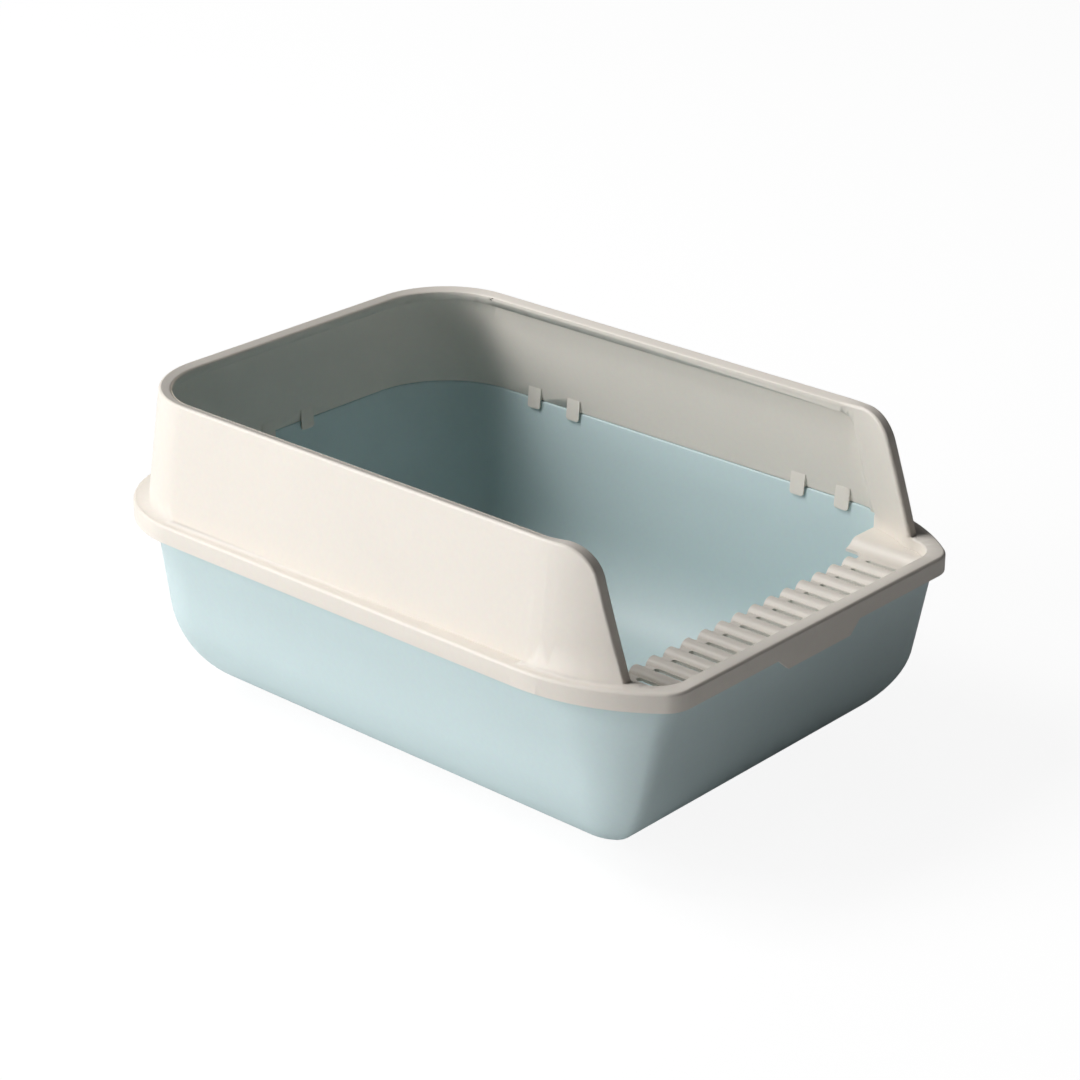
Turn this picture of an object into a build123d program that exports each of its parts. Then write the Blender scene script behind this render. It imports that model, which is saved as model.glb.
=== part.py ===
from build123d import *
import os
from dataclasses import dataclass
from math import acos, asin, cos, degrees, radians, sin, sqrt, tan

# High-sided litter box: a deep moulded pan, a lift-off frame with a shield wall on three sides,
# and a slotted step that lies in the low entrance. Millimetres, +Z up, entrance facing -Y.

# Frame outline seen from above
FRAME_LENGTH = 562.0
FRAME_WIDTH = 400.0
SWEEP_RADIUS = 157.8
SWEEP_ANGLE = 40.6
FRONT_CORNER_RADIUS = 22.75
BACK_CORNER_RADIUS = 92.7

# Heights above the floor
OVERALL_HEIGHT = 255.0
SKIRT_BOTTOM_Z = 151.0
FLANGE_TOP_Z = 165.5
PANEL_BOTTOM_Z = 168.0
STEP_TOP_Z = 150.0

# Flange, skirt and finger tab
FLANGE_THICKNESS = 3.0
SKIRT_WALL = 2.6
SKIRT_EDGE_ROUND = 2.4
FINGER_TAB_TOP_WIDTH = 94.0
FINGER_TAB_BOTTOM_WIDTH = 72.0
FINGER_TAB_DROP = 10.0
FINGER_TAB_CORNER = 3.0

# Shield wall
WALL_FOOT_INSET = 12.0
WALL_LEAN = 12.0
RIM_WIDTH = 10.5
RIM_HEIGHT = 9.5
BAND_FOOT_THICKNESS = 9.0
PANEL_FOOT_THICKNESS = 5.0
PANEL_TOP_THICKNESS = 3.0
ENTRANCE_SETBACK = 38.0
ENTRANCE_LEAN_ANGLE = 18.9
ENTRANCE_TOP_RADIUS = 30.0
BAND_FOOT_WIDTH = 48.0
BAND_LEAN_ANGLE = 10.8
PANEL_CORNER_RADIUS = 12.0
WALL_EDGE_ROUND = 2.4

# Locating tabs on the panels
LOCATOR_WIDTH = 13.5
LOCATOR_PAIR_SPACING = 43.0
LOCATOR_THICKNESS = 1.5
LOCATOR_DROP = 8.0
LOCATOR_RISE = 10.0
LOCATOR_CORNER = 2.5
SIDE_PAIRS_Y = (-142.5, 133.5)
BACK_PAIR_X = 0.0

# Recess that the step lies in
RECESS_SIDE_INSET = 39.0
RECESS_CORNER = 24.0
RECESS_WALL = 2.4
FRONT_RIM_WIDTH = 11.5
RECESS_FRONT_DRAFT = 13.4
LEDGE_WIDTH = 5.0
LEDGE_THICKNESS = 3.0

# Slotted step
STEP_THICKNESS = 2.5
STEP_DEPTH = 66.0
SLOT_PITCH = 18.87
SLOT_WIDTH = 5.0
SLOT_NEAR_DEPTH = 20.0
SLOT_FAR_DEPTH = 57.5
RIB_WIDTH = 12.4
RIB_RISE = 3.6
RIB_WALL = 1.6
RIB_NOSE = 5.0
RIB_OVERHANG = 2.0
LAND_SIDE_INSET = 58.7
RAMP_START = 9.0
RAMP_RUN = 13.0
RAMP_RISE = 6.0

# Pan
PAN_WALL = 3.0
PAN_SIDE_INSET = 15.6
PAN_FRONT_INSET = 6.0
PAN_BACK_INSET = 14.5
PAN_SIDE_DRAFT = 7.1
PAN_FRONT_DRAFT = 13.4
PAN_BACK_DRAFT = 4.1
PAN_SWEEP_RADIUS = 132.6
PAN_SWEEP_RADIUS_FLOOR = 18.2
PAN_SWEEP_ANGLE = 36.0
PAN_CORNER_RADIUS = 22.2
PAN_CORNER_RADIUS_FLOOR = 4.4
PAN_BACK_RADIUS = 77.0
PAN_FLOOR_ROUND = 75.0
PAN_FRONT_FLOOR_ROUND = 80.0
PAN_RIM_THICKNESS = 2.5
FOOT_RING_WIDTH = 12.0
FOOT_RING_HEIGHT = 1.2

# Fits
SKIRT_CLEARANCE = 0.6
LIP_CLEARANCE = 0.5
LIP_COVER = 1.0
SEAM_GAP = 0.6
STEP_CLEARANCE = 0.4
LOCATOR_CLEARANCE = 0.4
LEAST_RADIUS = 0.8

# How the solids are made: bands in the pan's floor round and in the wall above it, how far a
# cutter runs past a face, and what counts as square
FLOOR_ROUND_BANDS = 10
WALL_BANDS = 3
CUT_OVERRUN = 1.0
SQUARE_TOLERANCE = 0.01

FRONT_Y = -FRAME_LENGTH / 2
BACK_Y = FRAME_LENGTH / 2
ALL_ACROSS = (-FRAME_WIDTH, FRAME_WIDTH)
FLANGE_UNDER_Z = FLANGE_TOP_Z - FLANGE_THICKNESS
STEP_UNDER_Z = STEP_TOP_Z - STEP_THICKNESS
LEDGE_UNDER_Z = STEP_UNDER_Z - LEDGE_THICKNESS
RIM_UNDER_Z = OVERALL_HEIGHT - RIM_HEIGHT
LIP_TOP_Z = PANEL_BOTTOM_Z - SEAM_GAP
RIB_RADIUS = ((RIB_WIDTH / 2) ** 2 + RIB_RISE ** 2) / (2 * RIB_RISE)
ENTRANCE_FOOT_Y = FRONT_Y + ENTRANCE_SETBACK
STEP_BACK_Y = FRONT_Y + STEP_DEPTH
SLOT_COUNT = 1 + int((FRAME_WIDTH - 2 * (LAND_SIDE_INSET + RAMP_START)) / SLOT_PITCH)


def polar(centre, radius, angle):
    """Point at an angle in degrees round a centre in plan."""
    return (centre[0] + radius * cos(radians(angle)), centre[1] + radius * sin(radians(angle)))


@dataclass
class Plan:
    """Plan outline: straight front, tight front corners, wide swept shoulders, rounded back."""

    half_width: float
    front_y: float
    back_y: float
    sweep_radius: float
    sweep_angle: float
    corner_radius: float
    back_radius: float

    def inset(self, distance):
        """The same outline moved inwards all round, with the sweeps about the same centres."""
        sweep_radius = self.sweep_radius - distance
        corner_radius = max(self.corner_radius - distance, LEAST_RADIUS)
        rise = (sweep_radius - corner_radius) * sin(radians(self.sweep_angle))
        return Plan(
            self.half_width - distance,
            self.sweep_centre()[1] - rise - corner_radius,
            self.back_y - distance,
            sweep_radius,
            self.sweep_angle,
            corner_radius,
            max(self.back_radius - distance, LEAST_RADIUS),
        )

    def sweep_centre(self):
        rise = (self.sweep_radius - self.corner_radius) * sin(radians(self.sweep_angle))
        return (self.half_width - self.sweep_radius, self.front_y + self.corner_radius + rise)

    def corner_centre(self):
        return polar(self.sweep_centre(), self.sweep_radius - self.corner_radius, -self.sweep_angle)

    def wire(self, z):
        """Closed outline at a height, always with the same ten edges."""
        sweep, corner = self.sweep_centre(), self.corner_centre()
        back = (self.half_width - self.back_radius, self.back_y - self.back_radius)
        right = [
            (corner[0], self.front_y),
            polar(corner, self.corner_radius, -(90 + self.sweep_angle) / 2),
            polar(corner, self.corner_radius, -self.sweep_angle),
            polar(sweep, self.sweep_radius, -self.sweep_angle / 2),
            (self.half_width, sweep[1]),
            (self.half_width, back[1]),
            polar(back, self.back_radius, 45),
            (back[0], self.back_y),
        ]
        r = [Vector(x, y, z) for x, y in right]
        l = [Vector(-x, y, z) for x, y in right]
        return Wire([
            Edge.make_line(l[0], r[0]),
            Edge.make_three_point_arc(r[0], r[1], r[2]),
            Edge.make_three_point_arc(r[2], r[3], r[4]),
            Edge.make_line(r[4], r[5]),
            Edge.make_three_point_arc(r[5], r[6], r[7]),
            Edge.make_line(r[7], l[7]),
            Edge.make_three_point_arc(l[7], l[6], l[5]),
            Edge.make_line(l[5], l[4]),
            Edge.make_three_point_arc(l[4], l[3], l[2]),
            Edge.make_three_point_arc(l[2], l[1], l[0]),
        ])

    def prism(self, z_low, z_high):
        """Upright solid of this outline between two heights."""
        return Solid.extrude(Face(self.wire(z_low)), Vector(0, 0, z_high - z_low))


FRAME_PLAN = Plan(
    FRAME_WIDTH / 2, FRONT_Y, BACK_Y, SWEEP_RADIUS, SWEEP_ANGLE, FRONT_CORNER_RADIUS, BACK_CORNER_RADIUS
)


def blend(low, high, share):
    return low + (high - low) * share


def tapered(low_plan, z_low, high_plan, z_high):
    """Solid with straight drafted sides between two outlines."""
    return Solid.make_loft([low_plan.wire(z_low), high_plan.wire(z_high)], ruled=True)


def side_prism(points, half_width, corner=None, corner_radius=0.0):
    """Prism across the whole width from a side view in Y and Z, with one corner rounded."""
    profile = Polygon(*points, align=None)
    if corner is not None:
        chosen = profile.vertices().sort_by_distance((*corner, 0))[0]
        profile = fillet(chosen, corner_radius)
    return Plane.YZ * extrude(profile, half_width, both=True)


def block(x, y, z):
    """Box between two values on each axis."""
    size = [abs(high - low) for low, high in (x, y, z)]
    centre = [(low + high) / 2 for low, high in (x, y, z)]
    return Pos(*centre) * Box(*size)


# Shield wall surfaces, as insets from the frame outline


def wall_share(z):
    return (z - FLANGE_TOP_Z) / (OVERALL_HEIGHT - FLANGE_TOP_Z)


def wall_inset(z):
    return WALL_FOOT_INSET + WALL_LEAN * wall_share(z)


def band_inset(z):
    return wall_inset(z) + blend(BAND_FOOT_THICKNESS, RIM_WIDTH, wall_share(z))


def panel_inset(z):
    share = (z - PANEL_BOTTOM_Z) / (RIM_UNDER_Z - PANEL_BOTTOM_Z)
    return wall_inset(z) + blend(PANEL_FOOT_THICKNESS, PANEL_TOP_THICKNESS, share)


def entrance_y(z):
    return ENTRANCE_FOOT_Y + (z - FLANGE_TOP_Z) * tan(radians(ENTRANCE_LEAN_ANGLE))


def band_back_y(z):
    return ENTRANCE_FOOT_Y + BAND_FOOT_WIDTH + (z - FLANGE_TOP_Z) * tan(radians(BAND_LEAN_ANGLE))


def drafted(inset, z_low, z_high):
    """Solid whose outline follows an inset function between two heights."""
    return tapered(FRAME_PLAN.inset(inset(z_low)), z_low, FRAME_PLAN.inset(inset(z_high)), z_high)


# Recess for the step: the front rim, two rounded corners and the inner faces of the bands


def recess_wire(z, grow):
    """Outline of the recess at a height, moved outwards by a distance."""
    half = FRAME_WIDTH / 2 - RECESS_SIDE_INSET + grow
    radius = RECESS_CORNER + grow
    front = FRONT_Y + FRONT_RIM_WIDTH + (FLANGE_TOP_Z - z) * tan(radians(RECESS_FRONT_DRAFT)) - grow
    sweep = FRAME_PLAN.sweep_centre()
    band_radius = SWEEP_RADIUS - band_inset(FLANGE_TOP_Z) + grow
    start = -degrees(acos((half - sweep[0]) / band_radius))
    end = -degrees(asin(max(sweep[1] - band_back_y(STEP_TOP_Z), 0.0) / band_radius))
    corner = (half - radius, front + radius)
    right = [
        (corner[0], front),
        polar(corner, radius, -45),
        (half, corner[1]),
        polar(sweep, band_radius, start),
        polar(sweep, band_radius, (start + end) / 2),
        polar(sweep, band_radius, end),
    ]
    r = [Vector(x, y, z) for x, y in right]
    l = [Vector(-x, y, z) for x, y in right]
    return Wire([
        Edge.make_line(l[0], r[0]),
        Edge.make_three_point_arc(r[0], r[1], r[2]),
        Edge.make_line(r[2], r[3]),
        Edge.make_three_point_arc(r[3], r[4], r[5]),
        Edge.make_line(r[5], l[5]),
        Edge.make_three_point_arc(l[5], l[4], l[3]),
        Edge.make_line(l[3], l[2]),
        Edge.make_three_point_arc(l[2], l[1], l[0]),
    ])


def recess_solid(z_low, z_high, grow):
    return Solid.make_loft([recess_wire(z_low, grow), recess_wire(z_high, grow)], ruled=True)


# Pan surfaces


def pan_plan(z, depth):
    """Outline of the pan at a height; depth is 0 on the outside and the wall on the inside."""

    def rounding(radius):
        below = radius - max(z, depth)
        bend = radius - depth
        return 0.0 if below <= 0 else bend - sqrt(max(bend ** 2 - below ** 2, 0.0))

    fall = FLANGE_UNDER_Z - z
    share = fall / FLANGE_UNDER_Z
    side = fall * tan(radians(PAN_SIDE_DRAFT)) + rounding(PAN_FLOOR_ROUND) + depth
    front = fall * tan(radians(PAN_FRONT_DRAFT)) + rounding(PAN_FRONT_FLOOR_ROUND) + depth
    back = fall * tan(radians(PAN_BACK_DRAFT)) + rounding(PAN_FLOOR_ROUND) + depth
    corner = blend(PAN_CORNER_RADIUS, PAN_CORNER_RADIUS_FLOOR, share) - depth
    return Plan(
        FRAME_PLAN.half_width - PAN_SIDE_INSET - side,
        FRONT_Y + PAN_FRONT_INSET + front,
        BACK_Y - PAN_BACK_INSET - back,
        blend(PAN_SWEEP_RADIUS, PAN_SWEEP_RADIUS_FLOOR, share) - depth,
        PAN_SWEEP_ANGLE,
        max(corner, LEAST_RADIUS),
        max(PAN_BACK_RADIUS - back, PAN_CORNER_RADIUS_FLOOR),
    )


def pan_body(depth):
    """Bowl from the floor to the lip, outside or inside, in bands that turn evenly up the floor round."""
    turns = [radians(90 * band / FLOOR_ROUND_BANDS) for band in range(FLOOR_ROUND_BANDS)]
    heights = [depth + (PAN_FLOOR_ROUND - depth) * (1 - cos(turn)) for turn in turns]
    heights += [blend(PAN_FLOOR_ROUND, LIP_TOP_Z, band / WALL_BANDS) for band in range(WALL_BANDS + 1)]
    return Solid.make_loft([pan_plan(z, depth).wire(z) for z in heights], ruled=True)


def lip_limit(gap):
    """Outline that the lip stays within, so that the foot of the shield wall still covers it."""
    return FRAME_PLAN.inset(wall_inset(PANEL_BOTTOM_Z) + LIP_COVER + gap)


def make_pan():
    rim_plan = FRAME_PLAN.inset(SKIRT_WALL + SKIRT_CLEARANCE)
    rim = rim_plan.prism(FLANGE_UNDER_Z - PAN_RIM_THICKNESS, FLANGE_UNDER_Z)
    shell = pan_body(0.0) + rim
    shell -= pan_body(PAN_WALL)
    lip_end_y = band_back_y(STEP_TOP_Z)
    lip_top = LIP_TOP_Z + CUT_OVERRUN
    shell -= block(ALL_ACROSS, (FRONT_Y, lip_end_y), (FLANGE_UNDER_Z, lip_top))
    above_rim = block(ALL_ACROSS, (FRONT_Y, BACK_Y), (FLANGE_UNDER_Z, lip_top))
    shell -= above_rim - lip_limit(LIP_CLEARANCE).prism(FLANGE_UNDER_Z, lip_top)
    foot = pan_plan(0.0, 0.0).inset(FOOT_RING_WIDTH)
    return shell - foot.prism(0.0, FOOT_RING_HEIGHT)


# Frame


def make_flange():
    """Flange ring with its outer skirt and the finger tab at the front."""
    ring = FRAME_PLAN.prism(SKIRT_BOTTOM_Z, FLANGE_TOP_Z)
    ring = fillet(ring.faces().sort_by(Axis.Z)[-1].edges(), SKIRT_EDGE_ROUND)
    ring -= FRAME_PLAN.inset(SKIRT_WALL).prism(SKIRT_BOTTOM_Z, FLANGE_UNDER_Z)
    return ring + make_finger_tab()


def make_finger_tab():
    top, bottom = FINGER_TAB_TOP_WIDTH / 2, FINGER_TAB_BOTTOM_WIDTH / 2
    low = SKIRT_BOTTOM_Z - FINGER_TAB_DROP
    joined = SKIRT_BOTTOM_Z + SKIRT_WALL
    profile = Polygon(
        (-top, joined), (-top, SKIRT_BOTTOM_Z), (-bottom, low),
        (bottom, low), (top, SKIRT_BOTTOM_Z), (top, joined), align=None,
    )
    lowest = profile.vertices().group_by(Axis.Y)[0]
    profile = fillet(lowest, FINGER_TAB_CORNER)
    middle = Plane.XZ.offset(-FRONT_Y - SKIRT_WALL / 2)
    return middle * extrude(profile, SKIRT_WALL / 2, both=True)


def make_shield_wall():
    """Shield wall on three sides, with its rim, front bands and thinner panels."""
    wall = drafted(wall_inset, FLANGE_UNDER_Z, OVERALL_HEIGHT)
    low, high = FLANGE_UNDER_Z - CUT_OVERRUN, OVERALL_HEIGHT + CUT_OVERRUN
    side = side_prism(
        [(entrance_y(low), low), (entrance_y(OVERALL_HEIGHT), OVERALL_HEIGHT),
         (BACK_Y, OVERALL_HEIGHT), (BACK_Y, low)],
        FRAME_WIDTH, (entrance_y(OVERALL_HEIGHT), OVERALL_HEIGHT), ENTRANCE_TOP_RADIUS,
    )
    wall = wall & side
    wall -= drafted(band_inset, FLANGE_UNDER_Z, high)
    wall = round_wall_edges(wall)
    low = PANEL_BOTTOM_Z - CUT_OVERRUN
    panel = drafted(panel_inset, low, RIM_UNDER_Z + CUT_OVERRUN)
    pocket_top = (band_back_y(RIM_UNDER_Z), RIM_UNDER_Z)
    pocket = side_prism(
        [(band_back_y(low), low), pocket_top, (BACK_Y, RIM_UNDER_Z), (BACK_Y, low)],
        FRAME_WIDTH, pocket_top, PANEL_CORNER_RADIUS,
    )
    return wall - (panel & pocket)


def round_wall_edges(wall):
    """Rounds the rim and the two front edges, which all lie on the cut that shapes the side view."""
    back_wall_y = BACK_Y - WALL_FOOT_INSET - WALL_LEAN - RIM_WIDTH
    cut_faces = [
        face for face in wall.faces()
        if abs(face.normal_at().X) < SQUARE_TOLERANCE
        and face.center().Z > FLANGE_TOP_Z and face.center().Y < back_wall_y
    ]
    edges = [edge for face in cut_faces for edge in face.edges()]
    outline = [edge for edge in edges if sum(edge.is_same(other) for other in edges) == 1]
    outline = [edge for edge in outline if edge.center().Z > FLANGE_TOP_Z]
    return fillet(outline, WALL_EDGE_ROUND)


def make_locator(pan_inset, pan_draft):
    """One tab in its own frame: X is the distance in from the frame outline, Y runs along the wall."""
    low, high = PANEL_BOTTOM_Z - LOCATOR_DROP, PANEL_BOTTOM_Z + LOCATOR_RISE

    def pan_inside(z):
        return pan_inset + (FLANGE_UNDER_Z - z) * tan(radians(pan_draft)) + PAN_WALL + LOCATOR_CLEARANCE

    buried = wall_inset(PANEL_BOTTOM_Z) + PANEL_FOOT_THICKNESS / 2
    profile = Polygon(
        (pan_inside(low), low), (pan_inside(low) + LOCATOR_THICKNESS, low),
        (panel_inset(high) + LOCATOR_CLEARANCE, high), (buried, high),
        (buried, PANEL_BOTTOM_Z), (pan_inside(low), PANEL_BOTTOM_Z), align=None,
    )
    tab = Plane.XZ * extrude(profile, LOCATOR_WIDTH / 2, both=True)
    return fillet(tab.edges().filter_by(Axis.X).group_by(Axis.Z)[0], LOCATOR_CORNER)


def make_locators():
    """Pairs of small tabs that hang from the panels over the inside of the pan."""
    side_tab = make_locator(PAN_SIDE_INSET, PAN_SIDE_DRAFT)
    back_tab = make_locator(PAN_BACK_INSET, PAN_BACK_DRAFT)
    half = FRAME_WIDTH / 2
    tabs = []
    for step in (-LOCATOR_PAIR_SPACING / 2, LOCATOR_PAIR_SPACING / 2):
        for y in SIDE_PAIRS_Y:
            tabs.append(Pos(-half, y + step, 0) * side_tab)
            tabs.append(Pos(half, y + step, 0) * Rot(0, 0, 180) * side_tab)
        tabs.append(Pos(BACK_PAIR_X + step, BACK_Y, 0) * Rot(0, 0, -90) * back_tab)
    return tabs


def make_recess_tray():
    """Walls and ledge that carry the step."""
    tray = recess_solid(LEDGE_UNDER_Z, FLANGE_TOP_Z, RECESS_WALL)
    tray -= recess_solid(STEP_UNDER_Z, FLANGE_TOP_Z, 0.0)
    tray -= recess_solid(LEDGE_UNDER_Z, STEP_UNDER_Z, -LEDGE_WIDTH)
    return tray


def make_frame():
    frame = make_flange() + make_shield_wall()
    lip_end_y = band_back_y(STEP_TOP_Z)
    behind = block(ALL_ACROSS, (lip_end_y - LIP_CLEARANCE, BACK_Y), (LEDGE_UNDER_Z, PANEL_BOTTOM_Z))
    lip_space = pan_plan(LIP_TOP_Z, 0.0).inset(-LIP_CLEARANCE).prism(LEDGE_UNDER_Z, PANEL_BOTTOM_Z)
    frame -= lip_space & lip_limit(0.0).prism(LEDGE_UNDER_Z, PANEL_BOTTOM_Z) & behind
    frame -= recess_solid(LEDGE_UNDER_Z, FLANGE_TOP_Z, 0.0)
    frame += make_recess_tray()
    for tab in make_locators():
        frame += tab
    return frame


# Step


def rib_bar(radius, low, from_y, to_y):
    """Round-topped bar along Y about the rib circle, cut off below a height, on the middle plane."""
    circle_z = STEP_TOP_Z + RIB_RISE - RIB_RADIUS
    bar = Pos(0, (from_y + to_y) / 2, circle_z) * Rot(90, 0, 0) * Cylinder(radius, to_y - from_y)
    return bar & block((-RIB_WIDTH, RIB_WIDTH), (from_y, to_y), (low, STEP_TOP_Z + RIB_RISE))


def make_rib():
    """One rib, with a nose that slopes down to the plate at the front, and the channel under it."""
    front, back = FRONT_Y + SLOT_NEAR_DEPTH, STEP_BACK_Y + RIB_OVERHANG
    top = STEP_TOP_Z + RIB_RISE
    nose = [(front, STEP_UNDER_Z), (front, STEP_TOP_Z), (front + RIB_NOSE, top)]
    side = nose + [(back, top), (back, STEP_UNDER_Z)]
    rib = rib_bar(RIB_RADIUS, STEP_UNDER_Z, front, back) & side_prism(side, RIB_WIDTH)
    channel_front = front + RIB_NOSE + RIB_WALL
    channel = rib_bar(RIB_RADIUS - RIB_WALL, LEDGE_UNDER_Z, channel_front, back + CUT_OVERRUN)
    return rib, channel


def make_ramp_profile():
    """Side view of one end of the step, rising in an S to meet the band of the wall."""
    start = FRAME_WIDTH / 2 - LAND_SIDE_INSET
    end = FRAME_WIDTH / 2
    middle = (start + RAMP_RUN / 2, STEP_TOP_Z + RAMP_RISE / 2)
    top = (start + RAMP_RUN, STEP_TOP_Z + RAMP_RISE)
    foot = Edge.make_tangent_arc(Vector(start, STEP_TOP_Z), Vector(1, 0), Vector(*middle))
    head = Edge.make_tangent_arc(Vector(*middle), foot % 1, Vector(*top))
    rest = Polyline(top, (end, top[1]), (end, STEP_UNDER_Z), (start, STEP_UNDER_Z), (start, STEP_TOP_Z))
    return make_face([foot, head, *rest.edges()])


def make_step():
    """Slotted step: hollow round-topped ribs between slots, and an upturned land at each end."""
    inner_x = FRAME_WIDTH / 2 - LAND_SIDE_INSET
    bed = recess_solid(STEP_UNDER_Z, STEP_TOP_Z + RAMP_RISE, -STEP_CLEARANCE)
    plate = bed & block(ALL_ACROSS, (FRONT_Y, 0), (STEP_UNDER_Z, STEP_TOP_Z))
    ramp = Plane.XZ * extrude(make_ramp_profile(), FRAME_LENGTH / 2, both=True)
    for end in (ramp, mirror(ramp, Plane.YZ)):
        plate += bed & end
    depth = band_back_y(STEP_TOP_Z) - STEP_BACK_Y + STEP_CLEARANCE
    opening = Pos(0, STEP_BACK_Y + depth) * Rectangle(2 * inner_x, 2 * depth)
    opening = fillet(opening.vertices().group_by(Axis.Y)[0], RAMP_START)
    plate -= Pos(0, 0, LEDGE_UNDER_Z) * extrude(opening, FLANGE_TOP_Z - LEDGE_UNDER_Z)
    rib, channel = make_rib()
    for index in range(SLOT_COUNT - 1):
        place = Pos(SLOT_PITCH * (index - (SLOT_COUNT - 2) / 2), 0, 0)
        plate += place * rib
        plate -= place * channel
    slot_length = SLOT_FAR_DEPTH - SLOT_NEAR_DEPTH
    slot_outline = SlotOverall(slot_length, SLOT_WIDTH, rotation=90)
    slot_y = FRONT_Y + SLOT_NEAR_DEPTH + slot_length / 2
    slot = Pos(0, slot_y, LEDGE_UNDER_Z) * extrude(slot_outline, FLANGE_TOP_Z - LEDGE_UNDER_Z)
    for index in range(SLOT_COUNT):
        plate -= Pos(SLOT_PITCH * (index - (SLOT_COUNT - 1) / 2), 0, 0) * slot
    return plate


if __name__ == "__main__":
    os.makedirs("parts", exist_ok=True)
    for name, make in (("litter_pan", make_pan), ("shield_frame", make_frame), ("step_grille", make_step)):
        shape = make()
        print(name, round(shape.volume), shape.is_valid, len(shape.solids()), shape.bounding_box())
        export_step(shape, f"parts/{name}.step")
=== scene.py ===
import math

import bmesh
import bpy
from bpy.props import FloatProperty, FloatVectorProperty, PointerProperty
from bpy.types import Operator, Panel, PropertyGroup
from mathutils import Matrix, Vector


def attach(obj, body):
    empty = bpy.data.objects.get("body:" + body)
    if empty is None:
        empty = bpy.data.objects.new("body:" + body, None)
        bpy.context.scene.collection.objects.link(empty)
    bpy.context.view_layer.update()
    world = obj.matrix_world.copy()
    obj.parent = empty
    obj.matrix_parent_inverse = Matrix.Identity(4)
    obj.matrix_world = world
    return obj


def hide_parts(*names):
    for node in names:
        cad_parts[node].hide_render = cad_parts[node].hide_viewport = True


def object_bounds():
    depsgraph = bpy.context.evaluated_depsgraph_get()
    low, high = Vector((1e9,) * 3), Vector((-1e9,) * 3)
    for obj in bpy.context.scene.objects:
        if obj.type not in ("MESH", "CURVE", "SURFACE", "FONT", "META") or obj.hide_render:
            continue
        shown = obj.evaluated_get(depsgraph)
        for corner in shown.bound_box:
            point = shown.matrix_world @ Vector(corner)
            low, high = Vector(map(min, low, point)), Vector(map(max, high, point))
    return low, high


bl_info = {
    "name": "High-Sided Litter Box",
    "version": (1, 0, 0),
    "blender": (4, 5, 0),
    "location": "3D View > Sidebar > Litter Box",
    "description": "Finishes the moulded parts of a high-sided litter box and sets up its studio",
    "category": "Object",
}

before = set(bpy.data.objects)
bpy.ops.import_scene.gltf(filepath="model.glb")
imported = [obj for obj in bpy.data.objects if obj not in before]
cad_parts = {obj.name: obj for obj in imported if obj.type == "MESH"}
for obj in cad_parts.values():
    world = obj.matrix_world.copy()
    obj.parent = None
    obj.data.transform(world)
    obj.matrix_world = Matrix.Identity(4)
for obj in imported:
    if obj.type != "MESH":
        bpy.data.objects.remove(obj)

CAD_BOX = [list(corner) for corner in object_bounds()]
OBJECT_HEIGHT = CAD_BOX[1][2]

# Levels that the pan shares with the frame above it, and where its lip ends beside the entrance
RIM_TOP_Z = 0.1625
RIM_UNDER_Z = 0.160
LIP_TOP_Z = 0.1674
LIP_END_Y = -0.19796

# Outer edge of the frame in plan, and how far inside it the pan's rim, the pan's lip and the top of
# the shield wall run
FRAME_SWEEP_RADIUS = 0.1578
FRAME_SWEEP_ANGLE = math.radians(40.6)
FRAME_CORNER_RADIUS = 0.02275
FRAME_BACK_RADIUS = 0.0927
RIM_INSET = 0.0032
LIP_INSET = 0.013835
WALL_TOP_INSET = 0.024

# Pan in plan, at its rim and where the name says so at its floor
PAN_SIDE_INSET = 0.0156
PAN_FRONT_INSET = 0.006
PAN_BACK_INSET = 0.0145
PAN_SWEEP_RADIUS = 0.1326
PAN_SWEEP_RADIUS_FLOOR = 0.0182
PAN_SWEEP_ANGLE = math.radians(36.0)
PAN_CORNER_RADIUS = 0.0222
PAN_CORNER_RADIUS_FLOOR = 0.0044
PAN_BACK_RADIUS = 0.077
FOOT_RING_WIDTH = 0.012
FLOOR_BORDER_WIDTH = 0.004
LEAST_RADIUS = 0.0008

# How many points stand on each run of the pan's outline and how many rings on each rise
FRONT_STEPS, CORNER_STEPS, SWEEP_STEPS, SHOULDER_STEPS = 12, 10, 26, 4
SIDE_STEPS, BACK_CORNER_STEPS, BACK_STEPS = 24, 28, 16
FLOOR_ROUND_STEPS, WALL_STEPS, LIP_TOP_STEPS = 20, 5, 8

# Top of the shield wall: its rounded edge, and the cuts between which its slope fades in
RIM_EDGE_ROUND = 0.0024
RIM_CUTS_Y = (-0.190, -0.182, -0.174, -0.166)

SHARP_ANGLE = math.radians(35.0)
WELD_DISTANCE = 1e-6
MOST_WEIGHT = 100

# Plastic: how its colour drifts, how its skin catches light and which edges count as handled
PLASTIC_IOR = 1.49
CLOUD_SCALE, CLOUD_DARK, CLOUD_PALE = 7.0, 0.965, 1.03
SPECK_SCALE, SPECK_SHARE = 260.0, 0.06
WORN_GAIN, WORN_LIFT = 1.12, 0.03
WORN_EDGE_FIRST, WORN_EDGE_FULL = 0.52, 0.62
SMOOTHER, ROUGHER = 0.05, 0.07
GRAIN_STRENGTH = 0.35

WHITE = (1.0, 1.0, 1.0, 1.0)

# Strength at which the open floor just reaches white beside the share of its own shading
FLOOR_GLOW = 1.07

# Each lamp's bearing from the long side towards the back, its height above the floor seen from
# the box, both in degrees, and the width and height of its face
LAMPS = {
    "key": (58.0, 52.0, 1.8, 1.8),
    "side": (40.0, 25.0, 1.8, 1.8),
    "low": (20.0, 10.0, 1.8, 1.3),
    "back": (130.0, 30.0, 2.0, 2.0),
    "top": (0.0, 90.0, 2.0, 2.0),
    "front": (-30.0, 8.0, 1.4, 1.4),
}
LAMP_DISTANCE = 4.5
LAMP_TARGET = Vector((0.0, 0.0, 0.5 * OBJECT_HEIGHT))

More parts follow.
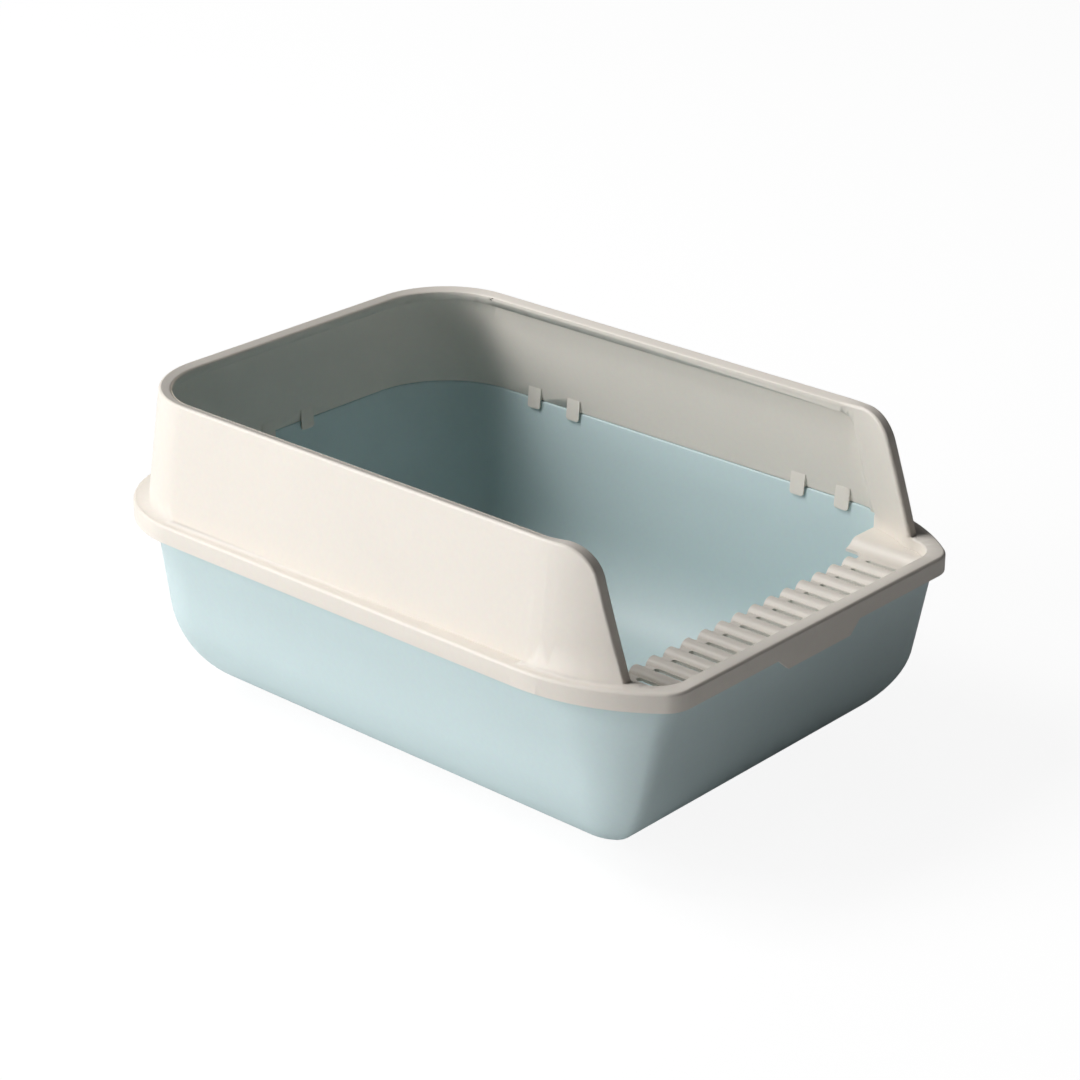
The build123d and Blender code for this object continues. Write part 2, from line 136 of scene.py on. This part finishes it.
# The camera that the box is seen from
CAMERA_PLACE = (-1.52998, -1.39684, 1.06106)
CAMERA_AZIMUTH = math.radians(-47.9)
CAMERA_ELEVATION = math.radians(23.87)
CAMERA_LENS = 98.757
SENSOR_WIDTH = 36.0
CLIP_START, CLIP_END = 0.05, 100.0


class LitterBoxPlastics(PropertyGroup):
    """Colours and surface of the two moulded plastics"""

    pan_colour: FloatVectorProperty(
        name="Pan Colour", description="Pale blue of the pan", subtype="COLOR",
        size=3, min=0.0, max=1.0, default=(0.666, 0.806, 0.821))
    frame_colour: FloatVectorProperty(
        name="Frame Colour", description="Warm white of the frame and the step", subtype="COLOR",
        size=3, min=0.0, max=1.0, default=(0.878, 0.82, 0.744))
    gloss_roughness: FloatProperty(
        name="Roughness", description="Roughness of the satin skin", subtype="FACTOR",
        min=0.0, max=1.0, default=0.42)
    grain_size: FloatProperty(
        name="Grain Size", description="Width of one bump of the mould's fine grain",
        subtype="DISTANCE", unit="LENGTH", min=0.0001, max=0.01, default=0.0006)
    grain_height: FloatProperty(
        name="Grain Height", description="Height of the mould's fine grain",
        subtype="DISTANCE", unit="LENGTH", min=0.0, max=0.001, default=0.00002)
    edge_wear: FloatProperty(
        name="Edge Wear", description="How much the handled edges are paler", subtype="FACTOR",
        min=0.0, max=1.0, default=0.25)


class LitterBoxPan(PropertyGroup):
    """Sizes of the pan's smooth bowl, which stands exactly where the carried-over solid does"""

    wall: FloatProperty(
        name="Wall", description="Thickness of the moulded wall",
        subtype="DISTANCE", unit="LENGTH", min=0.001, default=0.003)
    floor_round: FloatProperty(
        name="Floor Round", description="Radius between the floor and the sides and back",
        subtype="DISTANCE", unit="LENGTH", min=0.01, default=0.075)
    front_floor_round: FloatProperty(
        name="Front Floor Round", description="Radius between the floor and the front",
        subtype="DISTANCE", unit="LENGTH", min=0.01, default=0.080)
    side_draft: FloatProperty(
        name="Side Draft", description="Lean of the long sides",
        subtype="ANGLE", unit="ROTATION", default=math.radians(7.1))
    front_draft: FloatProperty(
        name="Front Draft", description="Lean of the front",
        subtype="ANGLE", unit="ROTATION", default=math.radians(13.4))
    back_draft: FloatProperty(
        name="Back Draft", description="Lean of the back",
        subtype="ANGLE", unit="ROTATION", default=math.radians(4.1))
    lip_round: FloatProperty(
        name="Lip Round", description="Height of the rounding along the top of the lip",
        subtype="DISTANCE", unit="LENGTH", min=0.0, default=0.0012)
    foot_height: FloatProperty(
        name="Foot Height", description="How far the foot ring stands below the base",
        subtype="DISTANCE", unit="LENGTH", min=0.0, default=0.0012)


class LitterBoxFrame(PropertyGroup):
    """Shape of the shield frame where it departs from the carried-over solid"""

    rim_slope: FloatProperty(
        name="Rim Slope", description="Fall of the shield wall's rim towards the inside",
        subtype="ANGLE", unit="ROTATION", min=0.0, max=math.radians(30.0),
        default=math.radians(18.0))


class LitterBoxStudio(PropertyGroup):
    """Floor, lamps and camera"""

    floor_colour: FloatVectorProperty(
        name="Floor Colour", description="Colour of the plain floor as it lights the box",
        subtype="COLOR", size=3, min=0.0, max=1.0, default=(0.80, 0.80, 0.80))
    floor_shadow: FloatProperty(
        name="Floor Shadow", description="Share of the floor's own shading that the camera sees",
        subtype="FACTOR", min=0.0, max=1.0, default=0.15)
    floor_size: FloatProperty(
        name="Floor Size", description="Side of the square floor",
        subtype="DISTANCE", unit="LENGTH", min=1.0, max=50.0, default=24.0)
    key_power: FloatProperty(
        name="Key Power", description="Power of the lamp high over the far back",
        subtype="POWER", min=0.0, default=99.0)
    side_power: FloatProperty(
        name="Side Power", description="Power of the lamp beside the long wall",
        subtype="POWER", min=0.0, default=80.0)
    low_power: FloatProperty(
        name="Low Power", description="Power of the lamp low beside the long wall",
        subtype="POWER", min=0.0, default=52.0)
    back_power: FloatProperty(
        name="Back Power", description="Power of the lamp behind the far long wall",
        subtype="POWER", min=0.0, default=12.0)
    top_power: FloatProperty(
        name="Top Power", description="Power of the lamp overhead",
        subtype="POWER", min=0.0, default=10.0)
    front_power: FloatProperty(
        name="Front Power", description="Power of the low lamp towards the entrance",
        subtype="POWER", min=0.0, default=6.0)
    world_strength: FloatProperty(
        name="Surround Light", description="Strength of the even light from all round",
        min=0.0, default=0.0)
    camera_lens: FloatProperty(
        name="Lens", description="Focal length of the camera",
        subtype="DISTANCE_CAMERA", unit="CAMERA", min=1.0, default=CAMERA_LENS)


def add_node(tree, kind, place, **values):
    """A shader node with its attributes set, and its sockets where a name is a socket's."""
    node = tree.nodes.new(kind)
    node.location = place
    for name, value in values.items():
        if hasattr(node, name):
            setattr(node, name, value)
        else:
            node.inputs[name.replace("_", " ")].default_value = value
    return node


def tinted(colour, gain, lift=0.0):
    """A colour made paler or darker, with its alpha."""
    return (*[min(gain * channel + lift, 1.0) for channel in colour], 1.0)


def plastic_material(name, colour, settings, seed):
    """Satin moulded plastic: faint clouds in the colour, fine grain and burnished edges."""
    material = bpy.data.materials.new(name)
    material.use_nodes = True
    tree = material.node_tree
    tree.nodes.clear()
    link = tree.links.new
    output = add_node(tree, "ShaderNodeOutputMaterial", (900, 0))
    skin = add_node(tree, "ShaderNodeBsdfPrincipled", (600, 0), IOR=PLASTIC_IOR)
    place = add_node(tree, "ShaderNodeTexCoord", (-1300, 0))
    offset = add_node(
        tree, "ShaderNodeMapping", (-1100, 0), Location=(seed, 2 * seed, 3 * seed))
    link(place.outputs["Object"], offset.inputs["Vector"])
    clouds = add_node(
        tree, "ShaderNodeTexNoise", (-800, 300), Scale=CLOUD_SCALE, Detail=4.0, Roughness=0.6)
    specks = add_node(
        tree, "ShaderNodeTexNoise", (-800, 50), Scale=SPECK_SCALE, Detail=2.0, Roughness=0.5)
    grain = add_node(
        tree, "ShaderNodeTexNoise", (-800, -450), Scale=1.0 / settings.grain_size, Detail=3.0,
        Roughness=0.55)
    for noise in (clouds, specks, grain):
        link(offset.outputs["Vector"], noise.inputs["Vector"])
    pale = add_node(tree, "ShaderNodeMix", (-400, 300), data_type="RGBA")
    pale.inputs[6].default_value = tinted(colour, CLOUD_DARK)
    pale.inputs[7].default_value = tinted(colour, CLOUD_PALE)
    link(clouds.outputs["Fac"], pale.inputs[0])
    speckled = add_node(
        tree, "ShaderNodeMix", (-150, 300), data_type="RGBA", blend_type="MULTIPLY")
    speckled.inputs[0].default_value = SPECK_SHARE
    link(pale.outputs[2], speckled.inputs[6])
    link(specks.outputs["Color"], speckled.inputs[7])
    edges = add_node(tree, "ShaderNodeNewGeometry", (-800, -200))
    wear = add_node(
        tree, "ShaderNodeMapRange", (-500, -200), From_Min=WORN_EDGE_FIRST,
        From_Max=WORN_EDGE_FULL, To_Max=settings.edge_wear)
    link(edges.outputs["Pointiness"], wear.inputs["Value"])
    worn = add_node(tree, "ShaderNodeMix", (150, 300), data_type="RGBA")
    worn.inputs[7].default_value = tinted(colour, WORN_GAIN, WORN_LIFT)
    link(wear.outputs["Result"], worn.inputs[0])
    link(speckled.outputs[2], worn.inputs[6])
    link(worn.outputs[2], skin.inputs["Base Color"])
    sheen = add_node(
        tree, "ShaderNodeMapRange", (150, 0), To_Min=settings.gloss_roughness - SMOOTHER,
        To_Max=settings.gloss_roughness + ROUGHER)
    link(clouds.outputs["Fac"], sheen.inputs["Value"])
    link(sheen.outputs["Result"], skin.inputs["Roughness"])
    bump = add_node(
        tree, "ShaderNodeBump", (150, -450), Strength=GRAIN_STRENGTH,
        Distance=settings.grain_height)
    link(grain.outputs["Fac"], bump.inputs["Height"])
    link(bump.outputs["Normal"], skin.inputs["Normal"])
    link(skin.outputs["BSDF"], output.inputs["Surface"])
    return material


def shared_material(name, colour, settings, seed):
    """The plastic of this name, made the first time that it is asked for."""
    return bpy.data.materials.get(name) or plastic_material(name, colour, settings, seed)


def blend(low, high, share):
    """Value a share of the way from one number to another."""
    return low + (high - low) * share


def arc(centre, radius, first, last, steps):
    """Points along an arc in plan, without the first."""
    turns = [blend(first, last, step / steps) for step in range(1, steps + 1)]
    return [
        (centre[0] + radius * math.cos(turn), centre[1] + radius * math.sin(turn))
        for turn in turns]


def straight(start, end, steps):
    """Points along a straight run in plan, without the first."""
    shares = [step / steps for step in range(1, steps + 1)]
    return [
        (blend(start[0], end[0], share), blend(start[1], end[1], share)) for share in shares]


class Outline:
    """Plan outline: straight front, tight front corners, wide swept shoulders, rounded back."""

    def __init__(
            self, half_width, front_y, back_y, sweep_radius, sweep_angle, corner_radius,
            back_radius):
        self.half_width = half_width
        self.front_y = front_y
        self.back_y = back_y
        self.sweep_radius = sweep_radius
        self.sweep_angle = sweep_angle
        self.corner_radius = corner_radius
        self.back_radius = back_radius
        reach = sweep_radius - corner_radius
        self.corner = (
            half_width - sweep_radius + reach * math.cos(sweep_angle), front_y + corner_radius)
        self.sweep = (half_width - sweep_radius, self.corner[1] + reach * math.sin(sweep_angle))
        self.back = (half_width - back_radius, back_y - back_radius)

    def inset(self, distance):
        """The same outline moved inwards all round, with the sweeps about the same centres."""
        sweep_radius = self.sweep_radius - distance
        corner_radius = max(self.corner_radius - distance, LEAST_RADIUS)
        rise = (sweep_radius - corner_radius) * math.sin(self.sweep_angle)
        return Outline(
            self.half_width - distance, self.sweep[1] - rise - corner_radius,
            self.back_y - distance, sweep_radius, self.sweep_angle, corner_radius,
            max(self.back_radius - distance, LEAST_RADIUS))

    def turn_at(self, y):
        """Angle on the right sweep where the outline crosses a distance along the box."""
        return -math.asin((self.sweep[1] - y) / self.sweep_radius)

    def points(self, shoulder_turn):
        """Closed ring in plan from the middle of the front round by the right.

        It always has as many points, and one of them stands at the given turn of the sweep."""
        ring = [(0.0, self.front_y)]
        ring += straight(ring[-1], (self.corner[0], self.front_y), FRONT_STEPS)
        ring += arc(
            self.corner, self.corner_radius, -math.pi / 2, -self.sweep_angle, CORNER_STEPS)
        ring += arc(
            self.sweep, self.sweep_radius, -self.sweep_angle, shoulder_turn, SWEEP_STEPS)
        ring += arc(self.sweep, self.sweep_radius, shoulder_turn, 0.0, SHOULDER_STEPS)
        ring += straight(ring[-1], (self.half_width, self.back[1]), SIDE_STEPS)
        ring += arc(self.back, self.back_radius, 0.0, math.pi / 2, BACK_CORNER_STEPS)
        ring += straight(ring[-1], (0.0, self.back_y), BACK_STEPS)
        return ring + [(-x, y) for x, y in reversed(ring[1:-1])]

    def depth_of(self, x, y):
        """How far a point lies inside the outline, away from its tight front corners."""
        x = abs(x)
        if y < self.sweep[1]:
            return self.sweep_radius - math.hypot(x - self.sweep[0], y - self.sweep[1])
        if y > self.back[1] and x > self.back[0]:
            return self.back_radius - math.hypot(x - self.back[0], y - self.back[1])
        return self.back_y - y if y > self.back[1] else self.half_width - x


FRAME_OUTLINE = Outline(
    CAD_BOX[1][0], CAD_BOX[0][1], CAD_BOX[1][1], FRAME_SWEEP_RADIUS, FRAME_SWEEP_ANGLE,
    FRAME_CORNER_RADIUS, FRAME_BACK_RADIUS)
RIM_OUTLINE = FRAME_OUTLINE.inset(RIM_INSET)
LIP_LIMIT = FRAME_OUTLINE.inset(LIP_INSET)
WALL_TOP_OUTLINE = FRAME_OUTLINE.inset(WALL_TOP_INSET)


def pan_outline(pan, z, depth):
    """Outline of the pan at a height; depth is 0 on the outside and the wall on the inside."""

    def rounding(radius):
        below = radius - max(z, depth)
        bend = radius - depth
        return 0.0 if below <= 0.0 else bend - math.sqrt(max(bend ** 2 - below ** 2, 0.0))

    fall = RIM_TOP_Z - z
    share = fall / RIM_TOP_Z
    side = fall * math.tan(pan.side_draft) + rounding(pan.floor_round) + depth
    front = fall * math.tan(pan.front_draft) + rounding(pan.front_floor_round) + depth
    back = fall * math.tan(pan.back_draft) + rounding(pan.floor_round) + depth
    corner_radius = blend(PAN_CORNER_RADIUS, PAN_CORNER_RADIUS_FLOOR, share) - depth
    return Outline(
        FRAME_OUTLINE.half_width - PAN_SIDE_INSET - side,
        FRAME_OUTLINE.front_y + PAN_FRONT_INSET + front,
        FRAME_OUTLINE.back_y - PAN_BACK_INSET - back,
        blend(PAN_SWEEP_RADIUS, PAN_SWEEP_RADIUS_FLOOR, share) - depth,
        PAN_SWEEP_ANGLE,
        max(corner_radius, LEAST_RADIUS),
        max(PAN_BACK_RADIUS - back, PAN_CORNER_RADIUS_FLOOR))


def under_shield(point):
    """Keeps a point of the lip inside the foot of the shield wall, which sweeps in ahead of it."""
    x, y, z = point
    centre_x, centre_y = LIP_LIMIT.sweep
    reach = math.hypot(abs(x) - centre_x, y - centre_y)
    if y > centre_y or reach < LIP_LIMIT.sweep_radius:
        return point
    share = LIP_LIMIT.sweep_radius / reach
    return (
        math.copysign(centre_x + (abs(x) - centre_x) * share, x),
        centre_y + (y - centre_y) * share, z)


def bowl_rings(pan):
    """Rings of points up the outside of the bowl, over its rounded lip and down its inside."""
    rim_turn = pan_outline(pan, RIM_TOP_Z, 0.0).turn_at(LIP_END_Y)

    def ring(outline, z):
        turn = outline.turn_at(LIP_END_Y) if z > RIM_TOP_Z else rim_turn
        return [(x, y, z) for x, y in outline.points(turn)]

    def wall_ring(z, depth):
        return ring(pan_outline(pan, z, depth), z)

    turns = [math.pi / 2 * step / FLOOR_ROUND_STEPS for step in range(FLOOR_ROUND_STEPS)]
    shares = [step / WALL_STEPS for step in range(WALL_STEPS + 1)]
    foot = pan_outline(pan, 0.0, 0.0).inset(FOOT_RING_WIDTH)
    heights = [pan.floor_round * (1.0 - math.cos(turn)) for turn in turns]
    heights += [blend(pan.floor_round, RIM_UNDER_Z, share) for share in shares]
    outside = [ring(foot, pan.foot_height), ring(foot, 0.0)]
    outside += [wall_ring(z, 0.0) for z in heights]
    outside += [ring(RIM_OUTLINE, RIM_UNDER_Z), ring(RIM_OUTLINE, RIM_TOP_Z)]
    outside.append(wall_ring(RIM_TOP_Z, 0.0))

    bend = pan.floor_round - pan.wall
    heights = [blend(RIM_TOP_Z, pan.floor_round, share) for share in shares]
    heights += [pan.wall + bend * (1.0 - math.cos(turn)) for turn in reversed(turns)]
    inside = [wall_ring(z, pan.wall) for z in heights]
    floor = pan_outline(pan, pan.wall, pan.wall).inset(FLOOR_BORDER_WIDTH)
    inside.append(ring(floor, pan.wall))

    shoulder_z = LIP_TOP_Z - pan.lip_round
    lip_outside = [under_shield(point) for point in wall_ring(shoulder_z, 0.0)]
    lip_inside = wall_ring(shoulder_z, pan.wall)
    lip = []
    for step in range(LIP_TOP_STEPS + 1):
        turn = math.pi * step / LIP_TOP_STEPS
        share, rise = (1.0 - math.cos(turn)) / 2, pan.lip_round * math.sin(turn)
        lip.append([
            (blend(a[0], b[0], share), blend(a[1], b[1], share), shoulder_z + rise)
            for a, b in zip(lip_outside, lip_inside)])
    return outside, lip, inside


def add_ring(mesh, points, kept):
    """Vertices for the points that are kept, and None for the others."""
    return [mesh.verts.new(point) if keep else None for point, keep in zip(points, kept)]


def join_rings(mesh, low, high):
    """Quads between two closed rings of vertices, where both have a vertex."""
    for index in range(len(low)):
        following = (index + 1) % len(low)
        corners = (low[index], low[following], high[following], high[index])
        if None not in corners:
            mesh.faces.new(corners)


def build_pan(pan):
    """Bowl with its foot ring, stiffening rim and rounded lip, as one closed shell."""
    outside, lip, inside = bowl_rings(pan)
    has_lip = [y > LIP_END_Y - LEAST_RADIUS for x, y, z in lip[0]]
    everywhere = [True] * len(has_lip)
    mesh = bmesh.new()
    outside = [add_ring(mesh, points, everywhere) for points in outside]
    lip = [add_ring(mesh, points, has_lip) for points in lip]
    inside = [add_ring(mesh, points, everywhere) for points in inside]
    over_lip = [outside[-1], *lip, inside[0]]
    for rings in (outside, inside, over_lip):
        for low, high in zip(rings, rings[1:]):
            join_rings(mesh, low, high)
    for index in range(len(has_lip)):
        following = (index + 1) % len(has_lip)
        if not (has_lip[index] and has_lip[following]):
            mesh.faces.new((
                outside[-1][index], outside[-1][following], inside[0][following],
                inside[0][index]))
        if has_lip[index] != has_lip[following]:
            end = index if has_lip[index] else following
            mesh.faces.new([ring[end] for ring in over_lip])
    mesh.faces.new(outside[0])
    mesh.faces.new(inside[-1])
    bmesh.ops.recalc_face_normals(mesh, faces=mesh.faces)
    return mesh


def shape_frame(node_name, slope):
    """The frame's own mesh with its rim tilted inwards, level again where the wall drops."""
    mesh = bmesh.new()
    mesh.from_mesh(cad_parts[node_name].data)
    bmesh.ops.remove_doubles(mesh, verts=mesh.verts, dist=WELD_DISTANCE)
    for y in RIM_CUTS_Y:
        bmesh.ops.bisect_plane(
            mesh, geom=mesh.verts[:] + mesh.edges[:] + mesh.faces[:], dist=WELD_DISTANCE,
            plane_co=(0, y, 0), plane_no=(0, 1, 0))
    fade_start, fade_end = RIM_CUTS_Y[0], RIM_CUTS_Y[-1]
    for vertex in mesh.verts:
        x, y, z = vertex.co
        if z < OBJECT_HEIGHT - RIM_EDGE_ROUND - WELD_DISTANCE or y < fade_start:
            continue
        share = min((y - fade_start) / (fade_end - fade_start), 1.0)
        inside = WALL_TOP_OUTLINE.depth_of(x, y) - RIM_EDGE_ROUND
        vertex.co.z -= share * math.tan(slope) * max(inside, 0.0)
    return mesh


def add_piece(name, mesh, body, node_name, material):
    """Object that stands for a carried-over solid and moves with its body."""
    data = bpy.data.meshes.new(name)
    mesh.to_mesh(data)
    mesh.free()
    data.shade_smooth()
    data.set_sharp_from_angle(angle=SHARP_ANGLE)
    data.materials.append(material)
    piece = bpy.data.objects.new(name, data)
    bpy.context.scene.collection.objects.link(piece)
    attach(piece, body)
    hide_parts(node_name)
    return piece


class LITTERBOX_OT_finish_pan(Operator):
    """Model the pan's smooth bowl in its pale blue plastic"""

    bl_idname = "litterbox.finish_pan"
    bl_label = "Model Pan"

    def execute(self, context):
        plastics = context.scene.litter_box_plastics
        material = shared_material("pan_blue_plastic", plastics.pan_colour, plastics, 1.7)
        bowl = build_pan(context.scene.litter_box_pan)
        add_piece("smooth_pan", bowl, "pan", "litter_pan", material)
        return {"FINISHED"}


class LITTERBOX_OT_finish_frame(Operator):
    """Shape the shield frame's sloping rim and give the frame its warm white plastic"""

    bl_idname = "litterbox.finish_frame"
    bl_label = "Finish Frame"

    def execute(self, context):
        plastics = context.scene.litter_box_plastics
        material = shared_material("frame_white_plastic", plastics.frame_colour, plastics, 4.3)
        shaped = shape_frame("shield_frame", context.scene.litter_box_frame.rim_slope)
        piece = add_piece(
            "shaped_frame", shaped, "frame", "shield_frame", material)
        even = piece.modifiers.new("even_shading", "WEIGHTED_NORMAL")
        even.keep_sharp = True
        even.weight = MOST_WEIGHT
        return {"FINISHED"}


class LITTERBOX_OT_finish_step(Operator):
    """Give the slotted step its warm white plastic"""

    bl_idname = "litterbox.finish_step"
    bl_label = "Finish Step"

    def execute(self, context):
        plastics = context.scene.litter_box_plastics
        material = shared_material("step_white_plastic", plastics.frame_colour, plastics, 8.9)
        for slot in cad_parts["step_grille"].material_slots:
            slot.material = material
        return {"FINISHED"}


def floor_material(studio):
    """White to the camera but for a faint shadow; a plain pale tone to everything else."""
    material = bpy.data.materials.new("studio_floor")
    material.use_nodes = True
    tree = material.node_tree
    tree.nodes.clear()
    link = tree.links.new
    output = add_node(tree, "ShaderNodeOutputMaterial", (600, 0))
    rays = add_node(tree, "ShaderNodeLightPath", (-600, 300))
    seen = add_node(tree, "ShaderNodeMath", (-400, 300), operation="MAXIMUM")
    link(rays.outputs["Is Camera Ray"], seen.inputs[0])
    link(rays.outputs["Is Transmission Ray"], seen.inputs[1])
    glow = add_node(
        tree, "ShaderNodeEmission", (-400, 0), Color=WHITE, Strength=FLOOR_GLOW)
    paint = add_node(tree, "ShaderNodeBsdfDiffuse", (-400, -200), Color=WHITE)
    lit = add_node(tree, "ShaderNodeMixShader", (0, -50))
    lit.inputs[0].default_value = studio.floor_shadow
    link(glow.outputs["Emission"], lit.inputs[1])
    link(paint.outputs["BSDF"], lit.inputs[2])
    plain = add_node(
        tree, "ShaderNodeBsdfDiffuse", (0, -300), Color=(*studio.floor_colour, 1.0))
    choose = add_node(tree, "ShaderNodeMixShader", (300, 0))
    link(seen.outputs["Value"], choose.inputs[0])
    link(plain.outputs["BSDF"], choose.inputs[1])
    link(lit.outputs["Shader"], choose.inputs[2])
    link(choose.outputs["Shader"], output.inputs["Surface"])
    return material


def make_floor(studio):
    """Large square floor under the box."""
    half = studio.floor_size / 2
    corners = [(-half, -half, 0), (half, -half, 0), (half, half, 0), (-half, half, 0)]
    mesh = bpy.data.meshes.new("studio_floor")
    mesh.from_pydata(corners, [], [(0, 1, 2, 3)])
    mesh.materials.append(floor_material(studio))
    floor = bpy.data.objects.new("studio_floor", mesh)
    bpy.context.scene.collection.objects.link(floor)


def make_surround(studio):
    """Even light from all round, white where the camera sees it."""
    world = bpy.data.worlds.new("studio_surround")
    bpy.context.scene.world = world
    world.use_nodes = True
    tree = world.node_tree
    tree.nodes.clear()
    output = add_node(tree, "ShaderNodeOutputWorld", (400, 0))
    rays = add_node(tree, "ShaderNodeLightPath", (-400, 0))
    level = add_node(
        tree, "ShaderNodeMapRange", (-200, 0), To_Min=studio.world_strength, To_Max=1.0)
    background = add_node(tree, "ShaderNodeBackground", (100, 0), Color=WHITE)
    tree.links.new(rays.outputs["Is Camera Ray"], level.inputs["Value"])
    tree.links.new(level.outputs["Result"], background.inputs["Strength"])
    tree.links.new(background.outputs["Background"], output.inputs["Surface"])


def add_lamp(name, power):
    """Soft box at its bearing, facing the box."""
    bearing, elevation, width, height = LAMPS[name]
    bearing, elevation = math.radians(bearing), math.radians(elevation)
    flat = math.cos(elevation)
    towards = Vector(
        (-flat * math.cos(bearing), flat * math.sin(bearing), math.sin(elevation)))
    data = bpy.data.lights.new(name + "_lamp", "AREA")
    data.energy = power
    data.shape = "RECTANGLE"
    data.size = width
    data.size_y = height
    lamp = bpy.data.objects.new(name + "_lamp", data)
    lamp.location = LAMP_TARGET + LAMP_DISTANCE * towards
    lamp.rotation_euler = (-towards).to_track_quat("-Z", "Y").to_euler()
    bpy.context.scene.collection.objects.link(lamp)


def make_camera(studio):
    """The camera, set as the scene's own."""
    data = bpy.data.cameras.new("view_camera")
    data.sensor_width = SENSOR_WIDTH
    data.sensor_fit = "HORIZONTAL"
    data.lens = studio.camera_lens
    data.clip_start = CLIP_START
    data.clip_end = CLIP_END
    camera = bpy.data.objects.new("view_camera", data)
    camera.location = CAMERA_PLACE
    camera.rotation_euler = (math.pi / 2 - CAMERA_ELEVATION, 0.0, CAMERA_AZIMUTH)
    bpy.context.scene.collection.objects.link(camera)
    bpy.context.scene.camera = camera


class LITTERBOX_OT_set_studio(Operator):
    """Lay the floor and set the lamps and the camera"""

    bl_idname = "litterbox.set_studio"
    bl_label = "Set Studio"

    def execute(self, context):
        studio = context.scene.litter_box_studio
        context.scene.view_settings.view_transform = "Standard"
        make_floor(studio)
        make_surround(studio)
        for name in LAMPS:
            add_lamp(name, getattr(studio, name + "_power"))
        make_camera(studio)
        return {"FINISHED"}


# Name of each group of settings on the scene
GROUPS = {
    "litter_box_plastics": LitterBoxPlastics,
    "litter_box_pan": LitterBoxPan,
    "litter_box_frame": LitterBoxFrame,
    "litter_box_studio": LitterBoxStudio,
}
OPERATORS = (
    LITTERBOX_OT_finish_pan, LITTERBOX_OT_finish_frame, LITTERBOX_OT_finish_step,
    LITTERBOX_OT_set_studio)


class LITTERBOX_PT_sidebar(Panel):
    """Sizes, colours and steps of the litter box"""

    bl_idname = "LITTERBOX_PT_sidebar"
    bl_label = "Litter Box"
    bl_space_type = "VIEW_3D"
    bl_region_type = "UI"
    bl_category = "Litter Box"

    def draw(self, context):
        layout = self.layout
        for group_name, group in GROUPS.items():
            column = layout.column(align=True)
            for name in group.__annotations__:
                column.prop(getattr(context.scene, group_name), name)
        column = layout.column(align=True)
        for operator in OPERATORS:
            column.operator(operator.bl_idname)


CLASSES = (*GROUPS.values(), *OPERATORS, LITTERBOX_PT_sidebar)


def register():
    for cls in CLASSES:
        bpy.utils.register_class(cls)
    for group_name, group in GROUPS.items():
        setattr(bpy.types.Scene, group_name, PointerProperty(type=group))


def unregister():
    for group_name in reversed(GROUPS):
        delattr(bpy.types.Scene, group_name)
    for cls in reversed(CLASSES):
        bpy.utils.unregister_class(cls)


def main():
    register()
    bpy.ops.litterbox.finish_pan()
    bpy.ops.litterbox.finish_frame()
    bpy.ops.litterbox.finish_step()
    bpy.ops.litterbox.set_studio()


if __name__ == "__main__":
    main()
